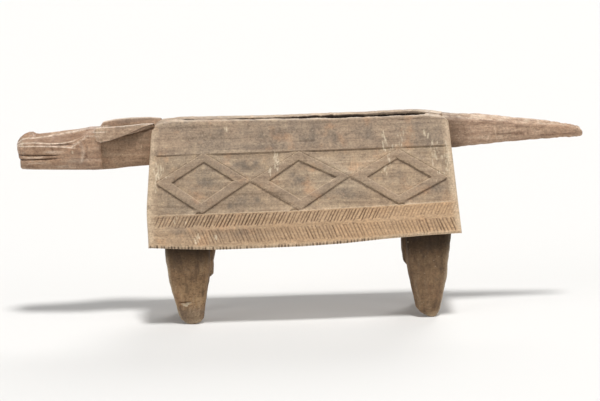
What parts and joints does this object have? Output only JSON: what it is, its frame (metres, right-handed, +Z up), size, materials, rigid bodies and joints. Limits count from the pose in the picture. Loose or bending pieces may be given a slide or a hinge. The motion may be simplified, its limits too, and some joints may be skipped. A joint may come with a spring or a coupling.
{
  "type": "slit drum",
  "caption": "Long wooden slit drum carved as a four-legged animal, with a flaring hollow body, long head, laid-back ears, tapering tail and a carved chain of lozenges.",
  "frame": {"origin": "on the floor, under the middle of the whole animal's bounding box", "axes": "+X from the head to the tail, +Y from the animal's left flank to its right flank, +Z up"},
  "size_m": [1.2, 0.2306, 0.426],
  "materials": {
    "flank_wood": "dry, dusty, weathered carved hardwood",
    "lip_wood": "dry, split and beaten edge grain",
    "head_wood": "handled to a low polish on the ridges",
    "tail_wood": "adzed facets, dry",
    "leg_wood": "adzed facets, dark and dry"
  },
  "bodies": {
    "root": {"left_flank": "flank_wood", "right_flank": "flank_wood", "left_lip": "lip_wood", "right_lip": "lip_wood", "belly": "lip_wood", "front_end_block": "lip_wood", "rear_end_block": "lip_wood", "left_lozenge_chain": "flank_wood", "right_lozenge_chain": "flank_wood", "neck": "head_wood", "head": "head_wood", "lower_jaw": "head_wood", "left_ear": "head_wood", "right_ear": "head_wood", "tail": "tail_wood", "front_left_leg": "leg_wood", "front_right_leg": "leg_wood", "rear_left_leg": "leg_wood", "rear_right_leg": "leg_wood"}
  },
  "joints": []
}
